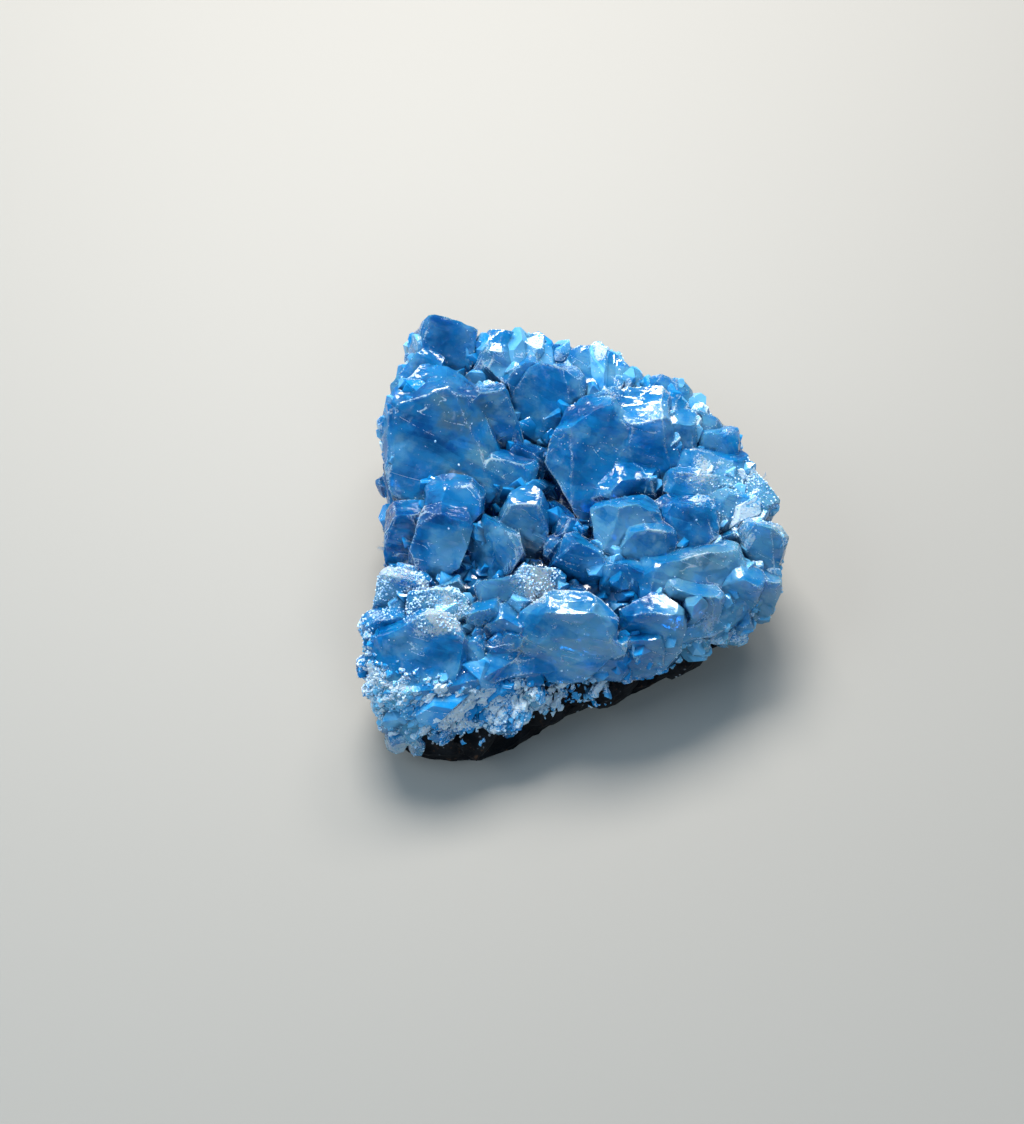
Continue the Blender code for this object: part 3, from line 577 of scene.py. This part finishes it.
# How each crystal looks: a point of it on the plan in mm, then how pale, frosted, warm and lined it is.
crystalTones = {
    "peak": ((-24, 38, 31), 0.25, 0.05, 0.0, 0.2),
    "peakFront": ((-26, 33, 29), 0.35, 0.1, 0.0, 0.2),
    "shoulder": ((-33, 34, 28), 0.62, 0.4, 0.0, 0.2),
    "giant": ((-27, 16, 28), 0.12, 0.0, 0.15, 0.1),
    "giantLeft": ((-34, 18, 27), 0.15, 0.1, 0.0, 0.1),
    "giantWarm": ((-22, 21, 31), 0.12, 0.0, 1.2, 0.1),
    "giantTop": ((-27, 29, 33), 0.25, 0.1, 0.0, 0.1),
    "column": ((-16, 18, 28), 0.42, 0.2, 0.25, 0.3),
    "columnFoot": ((-15, 13, 24), 0.40, 0.2, 0.5, 0.3),
    "backGap": ((-19, 38, 29), 0.55, 0.5, 0.0, 0.2),
    "backGlint": ((-15, 36, 31), 0.75, 0.3, 0.2, 0.2),
    "backPale": ((-10, 39, 30), 0.72, 0.3, 0.1, 0.3),
    "darkLeft": ((-11, 26, 28), 0.42, 0.1, 0.2, 0.3),
    "darkRight": ((-4, 26, 28), 0.42, 0.1, 0.0, 0.4),
    "rimDark": ((-2.5, 39, 29), 0.15, 0.1, 0.0, 0.2),
    "rimPale": ((3, 36, 28), 0.60, 0.3, 0.0, 0.1),
    "rimLow": ((9, 34, 27), 0.75, 0.4, 0.0, 0.1),
    "rimHigh": ((17.5, 29, 29), 0.50, 0.2, 0.0, 0.3),
    "rimCorner": ((23, 26, 26), 0.72, 0.5, 0.0, 0.2),
    "rimRight": ((26, 22, 26), 0.65, 0.4, 0.0, 0.2),
    "rimFlat": ((20.5, 19, 29), 0.70, 0.1, 0.0, 0.0),
    "rimDarkRight": ((26, 18, 26), 0.12, 0.0, 0.0, 0.2),
    "rimBand": ((25, 14, 26), 0.75, 0.6, 0.0, 0.2),
    "rimOuter": ((35, 12, 24), 0.85, 0.7, 0.0, 0.2),
    "gapBack": ((-9, 15, 25), 0.05, 0.0, 0.0, 0.3),
    "gapMid": ((-4, 4, 25), -0.1, 0.0, 0.0, 0.2),
    "gapFront": ((-1, -3, 24), 0.05, 0.1, 0.0, 0.2),
    "tall": ((2, 12, 28), 0.12, 0.05, 0.0, 0.2),
    "tallTop": ((1, 23, 33), 0.18, 0.1, 0.0, 0.2),
    "tallEdge": ((5, 28, 31), 0.60, 0.5, 0.0, 0.3),
    "striped": ((13, 16, 29), 0.30, 0.1, 0.0, 1.0),
    "stripedTop": ((13, 25, 31), 0.65, 0.4, 0.0, 0.6),
    "stripedLedge": ((11.5, 9, 26), 0.40, 0.1, 0.0, 1.0),
    "midBack": ((22, 10, 26), 0.22, 0.4, 0.0, 0.5),
    "midRight": ((31, 6, 25), 0.60, 0.5, 0.0, 0.3),
    "mid": ((20, 3, 26), 0.12, 0.2, 0.0, 0.4),
    "fin": ((7, 0, 28), 0.85, 0.1, 0.0, 0.1),
    "finRight": ((14, -4, 26), 0.65, 0.2, 0.0, 0.2),
    "long": ((19, -8, 24), 0.85, 0.1, 0.45, 0.1),
    "longTop": ((21, -3, 26), 0.60, 0.1, 0.6, 0.1),
    "upright": ((34, -4, 24), 0.98, 0.2, 0.0, 0.8),
    "shiny": ((32, -12, 22), 0.75, 0.2, 0.0, 0.6),
    "milky": ((21, -15, 22), 1.05, 0.3, 0.1, 0.1),
    "lobe": ((13.5, -20, 21), 0.30, 0.1, 0.0, 0.4),
    "bright": ((-2, -20, 24), 0.80, 0.0, 0.0, 0.2),
    "brightTop": ((-2, -15, 27.5), 0.70, 0.1, 0.0, 1.0),
    "underBright": ((0, -24, 17), 0.45, 0.4, 0.0, 0.2),
    "wedge": ((2.5, -8, 24), 0.20, 0.0, 0.0, 0.2),
    "chevron": ((8, -10, 24), 0.22, 0.0, 0.0, 0.7),
    "frosted": ((-6.5, -8.5, 27), 0.60, 1.0, 0.1, 0.1),
    "paleLeft": ((-13.5, -12, 26), 0.55, 0.3, 0.0, 0.3),
    "frontMid": ((-11.5, -21, 22), 0.35, 0.3, 0.0, 0.3),
    "round": ((-23, -3, 26), 0.80, 0.0, 0.0, 0.1),
    "roundTop": ((-23, 4, 29.5), -0.15, 0.0, 0.0, 0.1),
    "roundRight": ((-14, -3, 26), 0.38, 0.1, 0.3, 0.3),
    "roundBack": ((-22, 8, 28), 0.30, 0.1, 0.0, 0.3),
    "sideDark": ((-31, -1, 24), 0.0, 0.0, 0.0, 0.2),
    "glint": ((-9.5, 0, 26), 0.40, 0.2, 0.3, 0.5),
    "glintTop": ((-9.5, 5, 29.5), 0.55, 0.0, 0.0, 0.9),
    "glintBack": ((-13, 12, 27), 0.30, 0.1, 0.0, 0.4),
    "frontLeft": ((-31, -23, 23), 0.35, 0.1, 0.0, 0.2),
    "frontLeftTop": ((-32, -17, 27), 0.45, 0.5, 0.0, 0.2),
    "frontLeftFoot": ((-29, -29, 17), 0.50, 0.3, 0.0, 0.2),
    "leftMid": ((-32, -11, 24), 0.40, 0.6, 0.0, 0.3),
    "leftMidTop": ((-32.5, -6.5, 26.5), 0.80, 1.0, 0.0, 0.2),
    "leftPale": ((-25.5, -14, 27), 0.85, 0.9, 0.1, 0.3),
    "leftLow": ((-35, -22, 20), 0.50, 0.6, 0.0, 0.2),
    "grained": ((-18, -20, 22), 0.45, 0.4, 0.0, 0.8),
    "bank": ((-22, -31, 13), 0.35, 0.5, 0.0, 0.2),
}
toneNames = ("tone", "frost", "warm", "lines")
toneBlur = (2.5 * mm, 4.0 * mm, 6.5 * mm, 4.0 * mm)  # how softly each one passes into the next crystal's
tonePlaces = np.array([onPlan(*row[0]) for row in crystalTones.values()])
toneValues = np.array([row[1:] for row in crystalTones.values()])


def tonesAt(places):
    # each place takes the tones of the nearest crystals
    away = (places ** 2).sum(1)[:, None] + (tonePlaces ** 2).sum(1)[None] - 2 * places @ tonePlaces.T
    away -= away.min(1)[:, None]
    tones = []
    for column, blur in enumerate(toneBlur):
        weights = np.exp(-away / blur ** 2)
        tones.append(weights @ toneValues[:, column] / weights.sum(1))
    return tones


# painted light and shade, for light that comes through from behind: faces towards the window are painted darker
# and those away from it painted paler
paintedGlowSetup = {"towards": (-0.15, 0.60, 0.79), "middle": 0.5, "darker": 0.68, "paler": 0.22}


def setTonesAndPaintedGlow(piece):
    places = np.zeros(len(piece.data.vertices) * 3)
    piece.data.vertices.foreach_get("co", places)
    tones = tonesAt(places.reshape(-1, 3))
    normals = np.zeros(len(piece.data.vertices) * 3)
    piece.data.vertices.foreach_get("normal", normals)
    # painted light and shade: the tone is darkened on faces turned to the window and paled on faces turned away
    away = paintedGlowSetup["middle"] - normals.reshape(-1, 3) @ np.array(paintedGlowSetup["towards"])
    tones[0] += away * np.where(away < 0.0, paintedGlowSetup["darker"], paintedGlowSetup["paler"])
    for name, values in zip(toneNames, tones):
        piece.data.attributes.new(name, "FLOAT", "POINT").data.foreach_set("value", values)


depthSetup = {"rays": 12, "reach": 7.0 * mm, "lift": 0.08 * mm}


def setDepths(piece, surface):
    # how much of the open side of each point is closed in by what stands round it, from 0 to 1; the colour
    # takes painted shade from it in the crevices
    golden = math.pi * (3.0 - math.sqrt(5.0))
    rays = []
    for i in range(depthSetup["rays"]):
        z = math.sqrt((i + 0.5) / depthSetup["rays"])
        r = math.sqrt(1.0 - z * z)
        rays.append(Vector((r * math.cos(i * golden), r * math.sin(i * golden), z)))
    closed = []
    for vertex in piece.data.vertices:
        turn = vertex.normal.to_track_quat("Z", "Y").to_matrix()
        start = vertex.co + vertex.normal * depthSetup["lift"]
        met = 0
        for ray in rays:
            met += surface.ray_cast(start, turn @ ray, depthSetup["reach"])[0] is not None
        closed.append(met / len(rays))
    piece.data.attributes.new("deep", "FLOAT", "POINT").data.foreach_set("value", closed)


def setEdges(piece, softest, hardest):
    # how sharp an outward edge each point lies on, from 0 to 1
    mesh = piece.data
    faces = {}
    for face in mesh.polygons:
        for key in face.edge_keys:
            faces.setdefault(key, []).append(face)
    sharp = [0.0] * len(mesh.vertices)
    for (start, end), pair in faces.items():
        if len(pair) != 2:
            continue
        first, second = pair
        bend = first.normal.angle(second.normal, 0.0)
        if (second.center - first.center).dot(first.normal) < 0:
            share = (math.degrees(bend) - softest) / (hardest - softest)
            for i in (start, end):
                sharp[i] = max(sharp[i], min(1.0, share))
    mesh.attributes.new("edge", "FLOAT", "POINT").data.foreach_set("value", sharp)


def warp(piece, name, setup):
    # pushes each point along X, Y and Z by the colours of a cloud texture
    texture = bpy.data.textures.new(name, "CLOUDS")
    texture.cloud_type = "COLOR"
    texture.noise_scale = setup["size"]
    texture.noise_depth = setup["depth"]
    applyModifier(piece, "DISPLACE", texture=texture, strength=setup["strength"], direction="RGB_TO_XYZ")


def keepInBox(piece):
    low, high = (np.array(corner) for corner in cadBounds)
    places = np.zeros(len(piece.data.vertices) * 3)
    piece.data.vertices.foreach_get("co", places)
    places = np.clip(places.reshape(-1, 3), low, high)
    piece.data.vertices.foreach_set("co", places.ravel())
    piece.data.update()


def makeCrystals(material):
    piece = copyOfNode("crystals", "celestiteCrystals")
    for again in range(crystalsSetup["rounds"]):
        left = splitLongEdges(piece, crystalsSetup["longest"], crystalsSetup["seenAbove"])
        print("crystals: edges split", left)
    for name in ("bends", "chips"):
        warp(piece, name, crystalsSetup[name])
    applyModifier(piece, "SMOOTH", factor=crystalsSetup["smooth"], iterations=1)
    keepInBox(piece)
    setTonesAndPaintedGlow(piece)
    setEdges(piece, *crystalsSetup["paleEdges"])
    piece.data.materials.append(material)
    selectOnly(piece)
    bpy.ops.object.shade_smooth_by_angle(angle=math.radians(crystalsSetup["smoothBelow"]))
    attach(piece, "root")
    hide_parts("crystals")
    print("crystals:", len(piece.data.polygons), "faces")
    return piece


above = 0.06  # the rays from above start this high
up, down = Vector((0, 0, 1)), Vector((0, 0, -1))
fullTurn = 6.283


# veils: thin clouded breaks inside the crystals

veilSetup = {
    "seed": 23,
    "count": 130,
    "corners": 9,
    "sizes": (1.6, 5.0),
    "depth": (0.8, 4.5),
    "slope": (-0.6, 0.6),
    "lowest": 14.0 * mm,  # of the faces that they lie under
    "cut": 0.35,  # how far a corner is pulled in at most, in shares of its distance
    "bulge": 0.12,
    "colour": (0.34, 0.70, 0.96, 1.0),
    "roughness": 0.30,
    "wisps": (520.0, 5.0, 0.6),
    "wispRange": (0.46, 0.68, 0.0, 0.75),
}


def makeVeilMaterial():
    made, tree, shader = startMaterial("veil")
    place = addNode(tree, "ShaderNodeTexCoord").outputs["Object"]
    wisps = addNoise(tree, place, veilSetup["wisps"])
    shader.inputs["Base Color"].default_value = veilSetup["colour"]
    shader.inputs["Roughness"].default_value = veilSetup["roughness"]
    tree.links.new(stretch(tree, wisps, *veilSetup["wispRange"]), shader.inputs["Alpha"])
    print("material veil made")
    return made


def makeVeils(surface, material):
    # flat shards, each knocked out of round, at a small depth under the faces that are seen
    chance = random.Random(veilSetup["seed"])
    low, high = cadBounds
    shards = []
    while len(shards) < veilSetup["count"]:
        start = Vector((chance.uniform(low[0], high[0]), chance.uniform(low[1], high[1]), above))
        size = chance.uniform(*veilSetup["sizes"]) * mm
        depth = chance.uniform(*veilSetup["depth"]) * mm
        loose = Vector((chance.uniform(-1, 1), chance.uniform(-1, 1), chance.uniform(*veilSetup["slope"])))
        place, normal = surface.ray_cast(start, down)[:2]
        if place is None or place.z < veilSetup["lowest"]:
            continue
        middle = place - normal * (depth + 0.5 * size)
        roof, roofNormal = surface.ray_cast(middle, up)[:2]
        if roof is None or roofNormal.z < 0:
            continue
        bpy.ops.object.select_all(action="DESELECT")
        bpy.ops.mesh.primitive_circle_add(vertices=veilSetup["corners"], radius=size, fill_type="TRIFAN",
                                          location=middle, rotation=loose.to_track_quat("Z", "Y").to_euler())
        shard = bpy.context.object
        for vertex in shard.data.vertices:
            vertex.co *= 1.0 - chance.uniform(0.0, veilSetup["cut"])
            vertex.co.z += chance.uniform(-veilSetup["bulge"], veilSetup["bulge"]) * size
        shards.append(shard)
    selectOnly(*shards)
    bpy.ops.object.join()
    piece = bpy.context.object
    bpy.ops.object.transform_apply(location=True, rotation=True, scale=True)
    piece.name = "innerVeils"
    piece.data.name = "innerVeils"
    piece.data.materials.append(material)
    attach(piece, "root")
    print("veils:", len(piece.data.polygons), "faces")


# the small crystals: one of each kind is modelled, and the copies are grown on the big ones

smallSetup = {
    "seed": 11,
    # width, depth and height in shares of the size, then the slopes of the tip's four faces in degrees
    "kinds": (
        ((0.95, 0.70, 1.9), (52, 48, 62, 58)),
        ((1.25, 0.60, 1.7), (46, 55, 60, 66)),
        ((0.80, 0.80, 2.1), (56, 50, 50, 60)),
        ((1.50, 0.75, 1.6), (40, 52, 68, 50)),
        ((0.70, 0.55, 1.8), (60, 58, 44, 52)),
    ),
    "turns": (0.0, 90.0, 180.0, 270.0),
    "reaches": (0.10, 0.02, 0.10, 0.02),  # how far from the axis each of the tip's faces starts, at the top
    "cornerTurns": (45.0, 135.0, 225.0, 315.0),
    # the corners are cut off this share of the narrower side from the axis, and so much further on the diagonal
    "corner": 0.46,
    "diagonal": 1.25,
    "margin": 0.05 * mm,  # kept to the sides of the CAD box
    # the axis of a copy is a sum of the normal, the way out, the way up and a loose part
    "normal": 0.5,
    "outer": 0.04,  # the distance from the middle where the way out counts in full
    "risesFrom": 13.0 * mm,  # low down they point outwards, and over this more height they turn upwards
    "risesOver": 11.0 * mm,
    "lessOut": 0.65,
    "upward": 0.55,
    "hostFrost": 0.6,  # how much of the frost of the big crystal a copy takes over
}

bandSetup = {
    # heights that the rays aim at, how steeply they come down, where the band ends in degrees round the middle,
    # sizes in mm, how many, tone, frost, how far they lean and how far they stand proud in shares of the size
    "rimCrystals": {"heights": (11.0, 30.0), "fall": (0.1, 0.9), "ends": (5.0, 150.0), "sizes": (2.6, 6.4),
                    "count": 300, "tone": (-0.1, 0.35), "frost": (0.1, 0.6), "lean": 0.28,
                    "proud": (0.03, 0.20)},
    "rimFront": {"heights": (9.0, 17.0), "fall": (0.0, 0.3), "ends": (-72.0, 5.0), "sizes": (1.4, 4.0),
                 "count": 120, "tone": (-0.1, 0.30), "frost": (0.1, 0.6), "lean": 0.35,
                 "proud": (0.05, 0.24)},
    "frontDruse": {"heights": (6.0, 15.0), "fall": (0.1, 0.7), "ends": (205.0, 258.0), "sizes": (0.8, 2.6),
                   "count": 1300, "tone": (-0.1, 0.3), "frost": (0.2, 0.7), "lean": 0.45,
                   "proud": (0.05, 0.32)},
}

# the rays of the bands: the middle that they aim past on the plan, how far to the side of it, how far out they
# start and aim, how high the steepest starts, and the lowest place that is taken
bandRays = {"middle": (-1.0, 5.0), "aside": (-14, 14), "start": 0.08, "aim": 0.03, "steepest": 0.05,
            "lowest": 0.003}

valleySetup = {
    "tries": 1100, "sizes": (3.0, 7.5), "tone": (-0.10, 0.20), "frost": (0.0, 0.2), "lean": 0.30,
    "proud": (0.05, 0.30), "lowest": 10.0 * mm,
    # a place is in a valley where this many of the rays that look round from it meet a wall within reach
    "walls": 4, "rays": 8, "slope": 0.55, "lift": 0.4, "reach": 5.0 * mm,
}


def makeKinds():
    kinds = []
    for number, (size, slopes) in enumerate(smallSetup["kinds"]):
        bpy.ops.object.select_all(action="DESELECT")
        bpy.ops.mesh.primitive_cube_add(size=1.0, location=(0, 0, 0))
        kind = bpy.context.object
        kind.name = "smallKind" + str(number)
        bpy.ops.object.mode_set(mode="EDIT")
        bpy.ops.mesh.select_all(action="SELECT")
        bpy.ops.transform.resize(value=size)
        tip = size[2] / 2
        for slope, turn, reach in zip(slopes, smallSetup["turns"], smallSetup["reaches"]):
            outward = Vector((math.sin(math.radians(turn)), math.cos(math.radians(turn)), 0.0))
            normal = outward * math.sin(math.radians(slope)) + Vector((0, 0, math.cos(math.radians(slope))))
            bpy.ops.mesh.select_all(action="SELECT")
            bpy.ops.mesh.bisect(plane_co=outward * reach + Vector((0, 0, tip)), plane_no=normal,
                                use_fill=True, clear_outer=True)
        for turn in smallSetup["cornerTurns"]:
            corner = Vector((math.cos(math.radians(turn)), math.sin(math.radians(turn)), 0.0))
            cut = corner * smallSetup["corner"] * min(size[0], size[1]) * smallSetup["diagonal"]
            bpy.ops.mesh.select_all(action="SELECT")
            bpy.ops.mesh.bisect(plane_co=cut, plane_no=corner, use_fill=True, clear_outer=True)
        bpy.ops.mesh.select_all(action="SELECT")
        bpy.ops.mesh.quads_convert_to_tris(quad_method="BEAUTY", ngon_method="BEAUTY")
        bpy.ops.object.mode_set(mode="OBJECT")
        kinds.append(kind)
    print("small crystals:", [len(kind.data.polygons) for kind in kinds], "faces each")
    return kinds


def surfaceOf(*pieces):
    # what the rays meet: the pieces' faces in one tree
    corners, faces = [], []
    for piece in pieces:
        first = len(corners)
        corners += [vertex.co.copy() for vertex in piece.data.vertices]
        faces += [[first + i for i in face.vertices] for face in piece.data.polygons]
    return BVHTree.FromPolygons(corners, faces)


def growOne(kinds, chance, place, normal, size, setup, tone, frost):
    # a copy of one kind, grown out of the surface along a leaning axis
    kind = chance.choice(kinds)
    loose = Vector((chance.uniform(-1, 1), chance.uniform(-1, 1), chance.uniform(-1, 1)))
    outward = Vector((place.x, place.y, 0.0)) / smallSetup["outer"]
    rise = min(1.0, max(0.0, (place.z - smallSetup["risesFrom"]) / smallSetup["risesOver"]))
    axis = normal * smallSetup["normal"] + outward * (1.0 - smallSetup["lessOut"] * rise)
    axis = (axis + loose * setup["lean"] + Vector((0, 0, smallSetup["upward"] * rise))).normalized()
    turn = axis.to_track_quat("Z", "Y").to_matrix() @ Matrix.Rotation(chance.uniform(0, fullTurn), 3, "Z")
    height = smallSetup["kinds"][kinds.index(kind)][0][2] * size
    middle = place + axis * (chance.uniform(*setup["proud"]) * size - height / 2)
    matrix = Matrix.Translation(middle) @ turn.to_4x4() @ Matrix.Diagonal((size, size, size, 1.0))
    data = kind.data.copy()
    data.transform(matrix)
    low, high = cadBounds
    margin = smallSetup["margin"]
    for vertex in data.vertices:
        if not all(low[i] + margin < vertex.co[i] < high[i] - margin for i in range(3)):
            bpy.data.meshes.remove(data)
            return None
    count = len(data.vertices)
    hostTone, hostFrost, hostWarm, hostLines = (host[0] for host in tonesAt(np.array([place])))
    values = (hostTone + tone, hostFrost * smallSetup["hostFrost"] + frost, hostWarm, hostLines)
    for name, value in zip(toneNames, values):
        data.attributes.new(name, "FLOAT", "POINT").data.foreach_set("value", [value] * count)
    grown = bpy.data.objects.new("small", data)
    bpy.context.scene.collection.objects.link(grown)
    return grown


def joinPiece(copies, name, material):
    selectOnly(*copies)
    bpy.ops.object.join()
    piece = bpy.context.object
    piece.name = name
    piece.data.name = name
    piece.data.materials.append(material)
    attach(piece, "root")
    print(name + ":", len(copies), "copies,", len(piece.data.polygons), "faces")
    return piece


def growBand(name, kinds, surface, chance, material):
    setup = bandSetup[name]
    copies = []
    for again in range(setup["count"]):
        turn = math.radians(chance.uniform(*setup["ends"]))
        outward = Vector((math.cos(turn), math.sin(turn), 0.0))
        inner = onPlan(*bandRays["middle"], chance.uniform(*setup["heights"]))
        inner += Vector((-outward.y, outward.x, 0.0)) * chance.uniform(*bandRays["aside"]) * mm
        fall = chance.uniform(*setup["fall"]) * bandRays["steepest"]
        start = inner + outward * bandRays["start"] + Vector((0, 0, fall))
        ray = (inner + outward * bandRays["aim"] - start).normalized()
        place, normal = surface.ray_cast(start, ray)[:2]
        size = chance.uniform(*setup["sizes"]) * mm
        tone, frost = chance.uniform(*setup["tone"]), chance.uniform(*setup["frost"])
        if place is None or place.z < bandRays["lowest"]:
            continue
        grown = growOne(kinds, chance, place, normal, size, setup, tone, frost)
        if grown:
            copies.append(grown)
    return joinPiece(copies, name, material)


def wallsAround(surface, place, normal):
    # how many of the low rays all round the place meet a wall close by
    start = place + normal * valleySetup["lift"] * mm
    met = 0
    for turn in range(valleySetup["rays"]):
        angle = math.radians(turn * 360 / valleySetup["rays"])
        ray = Vector((math.cos(angle), math.sin(angle), valleySetup["slope"])).normalized()
        met += surface.ray_cast(start, ray, valleySetup["reach"])[0] is not None
    return met


def growValleys(kinds, surface, chance, material):
    copies = []
    low, high = cadBounds
    for again in range(valleySetup["tries"]):
        start = Vector((chance.uniform(low[0], high[0]), chance.uniform(low[1], high[1]), above))
        size = chance.uniform(*valleySetup["sizes"]) * mm
        tone, frost = chance.uniform(*valleySetup["tone"]), chance.uniform(*valleySetup["frost"])
        place, normal = surface.ray_cast(start, down)[:2]
        if place is None or place.z < valleySetup["lowest"]:
            continue
        if wallsAround(surface, place, normal) < valleySetup["walls"]:
            continue
        grown = growOne(kinds, chance, place, normal, size, valleySetup, tone, frost)
        if grown:
            copies.append(grown)
    return joinPiece(copies, "valleyCrystals", material)


# sugary grains: Geometry Nodes strews them where the frost is, with the instances realized

sugarSetup = {
    "seed": 5,
    # on each piece: how many grains a square metre has where the frost is full, the frost where they start and
    # where it is full, and how many loose ones lie anywhere
    "celestiteCrystals": {"density": 4.2e6, "frostFrom": 0.36, "frostTo": 0.85, "loose": 1.2e4},
    "rimCrystals": {"density": 1.6e6, "frostFrom": 0.50, "frostTo": 1.0, "loose": 1.0e4},
    "frontDruse": {"density": 1.2e6, "frostFrom": 0.45, "frostTo": 1.1, "loose": 4.0e4},
    "patches": {"Scale": 260.0, "Detail": 4.0, "Roughness": 0.6},
    "patchRange": (0.38, 0.55),
    "sizes": (0.08 * mm, 0.30 * mm),
    "mottle": (900.0, 3.0, 0.6),
    "mottleRange": (0.35, 0.62),
    "roughness": (0.3, 0.7, 0.18, 0.45),  # a range of the mottle, then what it becomes
    "colour": (0.70, 0.85, 0.96, 1.0),
    "shade": (0.22, 0.48, 0.76, 1.0),
}


def makeSugarMaterial():
    made, tree, shader = startMaterial("sugar")
    place = addNode(tree, "ShaderNodeTexCoord").outputs["Object"]
    mottle = addNoise(tree, place, sugarSetup["mottle"])
    share = stretch(tree, mottle, *sugarSetup["mottleRange"])
    colour = mixColours(tree, share, sugarSetup["shade"], sugarSetup["colour"])
    tree.links.new(colour, shader.inputs["Base Color"])
    tree.links.new(stretch(tree, mottle, *sugarSetup["roughness"]), shader.inputs["Roughness"])
    print("material sugar made")
    return made


def strewSugar(host, name, material):
    setup = sugarSetup[host.name]
    piece = bpy.data.objects.new(name, host.data.copy())
    bpy.context.scene.collection.objects.link(piece)
    piece.data.materials.clear()
    tree = bpy.data.node_groups.new(name + "Nodes", "GeometryNodeTree")
    tree.interface.new_socket(name="Geometry", in_out="INPUT", socket_type="NodeSocketGeometry")
    tree.interface.new_socket(name="Geometry", in_out="OUTPUT", socket_type="NodeSocketGeometry")
    given, result = tree.nodes.new("NodeGroupInput"), tree.nodes.new("NodeGroupOutput")
    frost = addNode(tree, "GeometryNodeInputNamedAttribute", {"data_type": "FLOAT"}, Name="frost")
    share = stretch(tree, frost.outputs["Attribute"], setup["frostFrom"], setup["frostTo"])
    patches = addNode(tree, "ShaderNodeTexNoise", **sugarSetup["patches"])
    share = calculate(tree, "MULTIPLY", share, stretch(tree, patches.outputs[0], *sugarSetup["patchRange"]))
    density = calculate(tree, "ADD", calculate(tree, "MULTIPLY", share, setup["density"]), setup["loose"])
    strewn = addNode(tree, "GeometryNodeDistributePointsOnFaces", Seed=sugarSetup["seed"], Density=density)
    tree.links.new(given.outputs[0], strewn.inputs["Mesh"])
    grain = addNode(tree, "GeometryNodeMeshIcoSphere", Radius=1.0, Subdivisions=1)
    sizes = addNode(tree, "FunctionNodeRandomValue", {"data_type": "FLOAT_VECTOR"})
    turns = addNode(tree, "FunctionNodeRandomValue", {"data_type": "FLOAT_VECTOR"})
    for socket, value in zip((*sizes.inputs[:2], turns.inputs[1]), (*sugarSetup["sizes"], fullTurn)):
        socket.default_value = (value, value, value)
    placed = tree.nodes.new("GeometryNodeInstanceOnPoints")
    tree.links.new(strewn.outputs["Points"], placed.inputs["Points"])
    tree.links.new(grain.outputs[0], placed.inputs["Instance"])
    tree.links.new(turns.outputs[0], placed.inputs["Rotation"])
    tree.links.new(sizes.outputs[0], placed.inputs["Scale"])
    real = tree.nodes.new("GeometryNodeRealizeInstances")
    tree.links.new(placed.outputs[0], real.inputs[0])
    tree.links.new(real.outputs[0], result.inputs[0])
    applyModifier(piece, "NODES", node_group=tree)
    keepInBox(piece)
    piece.data.materials.clear()  # the nodes leave an empty slot
    piece.data.materials.append(material)
    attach(piece, "root")
    print(name + ":", len(piece.data.polygons), "faces")
    return piece


rockSetup = {
    "longest": 1.6 * mm,
    "rounds": 3,
    "depth": 4,
    "lumps": {"size": 4.0 * mm, "strength": 0.9 * mm},
    "grit": {"size": 0.9 * mm, "strength": 0.35 * mm},
}


def makeRock(material):
    piece = copyOfNode("matrix", "shadedDarkRockBase")
    for again in range(rockSetup["rounds"]):
        splitLongEdges(piece, rockSetup["longest"])
    for name in ("lumps", "grit"):
        texture = bpy.data.textures.new(name, "CLOUDS")
        texture.noise_scale = rockSetup[name]["size"]
        texture.noise_depth = rockSetup["depth"]
        applyModifier(piece, "DISPLACE", texture=texture, strength=-rockSetup[name]["strength"], mid_level=0.0)
    piece.data.materials.append(material)
    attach(piece, "root")
    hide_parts("matrix")
    print("rock:", len(piece.data.polygons), "faces")
    return piece


# the order of the work

makeCamera()
makeLights()
makeFloor()
surfaceGroup = makeSurfaceGroup()
celestite = makeCelestite("celestite", surfaceGroup)
smallCelestite = makeCelestite("smallCelestite", surfaceGroup)
crystals = makeCrystals(celestite)
rock = makeRock(makeShadedDarkRock())
kinds = makeKinds()
bigSurface = surfaceOf(crystals, rock)
setDepths(crystals, bigSurface)
chance = random.Random(smallSetup["seed"])
rim = growBand("rimCrystals", kinds, bigSurface, chance, smallCelestite)
rimFront = growBand("rimFront", kinds, bigSurface, chance, smallCelestite)
druse = growBand("frontDruse", kinds, bigSurface, chance, smallCelestite)
valleys = growValleys(kinds, bigSurface, chance, smallCelestite)
for grown in (rim, rimFront, druse, valleys):
    setDepths(grown, bigSurface)
for kind in kinds:
    bpy.data.objects.remove(kind)
sugar = makeSugarMaterial()
strewSugar(crystals, "sugarCrust", sugar)
strewSugar(rim, "sugarRim", sugar)
strewSugar(druse, "sugarDruse", sugar)
makeVeils(bigSurface, makeVeilMaterial())
